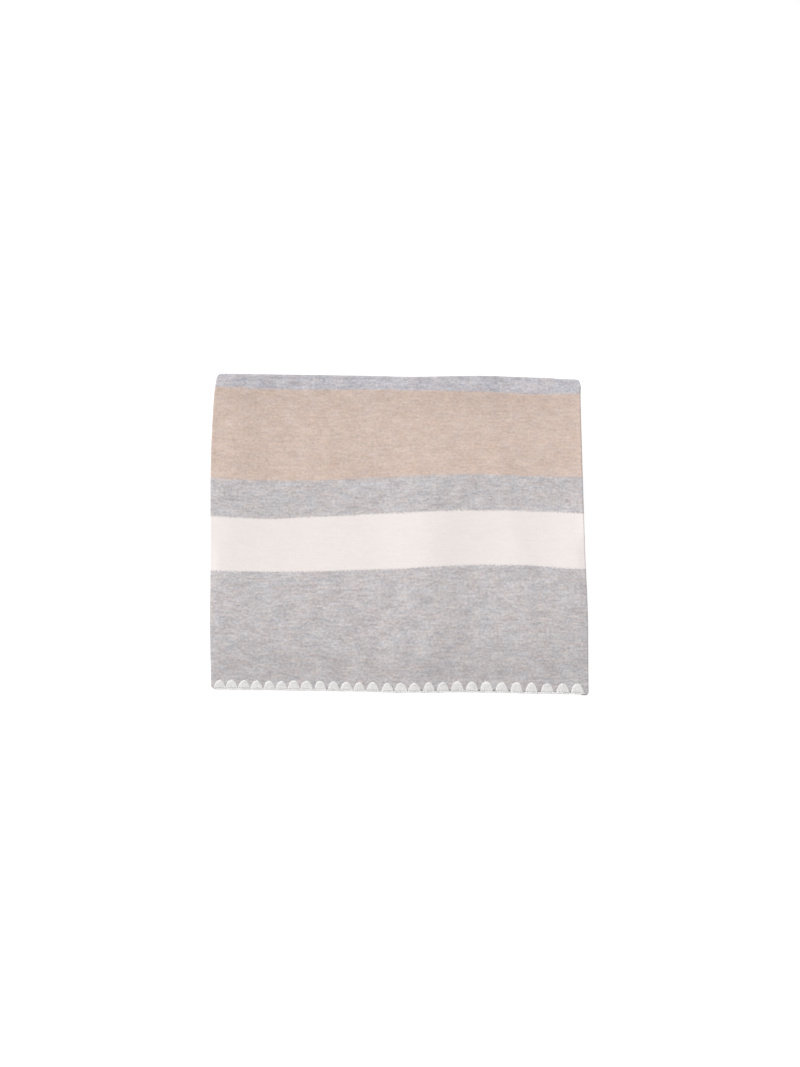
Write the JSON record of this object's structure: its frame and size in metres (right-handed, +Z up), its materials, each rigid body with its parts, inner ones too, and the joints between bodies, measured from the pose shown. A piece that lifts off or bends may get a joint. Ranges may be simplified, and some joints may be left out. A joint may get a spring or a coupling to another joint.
{
  "type": "folded cashmere scarf",
  "caption": "Striped soft knitted scarf folded in a flat zigzag pile, with a white hand-worked yarn edging on each trimmed end.",
  "frame": {"origin": "middle of the folded pile's box, on the surface that it lies on", "axes": "+Z up, -Y towards the edged end that lies on top at the front, +Y towards the back fold, +X to the right across the scarf"},
  "size_m": [0.3628, 0.306, 0.0175],
  "materials": {
    "striped_knit": "soft milled cashmere knit in grey marl, with camel and cream stripes",
    "white_yarn": "matt white plied yarn"
  },
  "bodies": {
    "root": {"end_panel": "striped_knit", "folded_layers": "striped_knit", "under_panel": "striped_knit", "end_edging": "white_yarn", "under_edging": "white_yarn"}
  },
  "joints": []
}
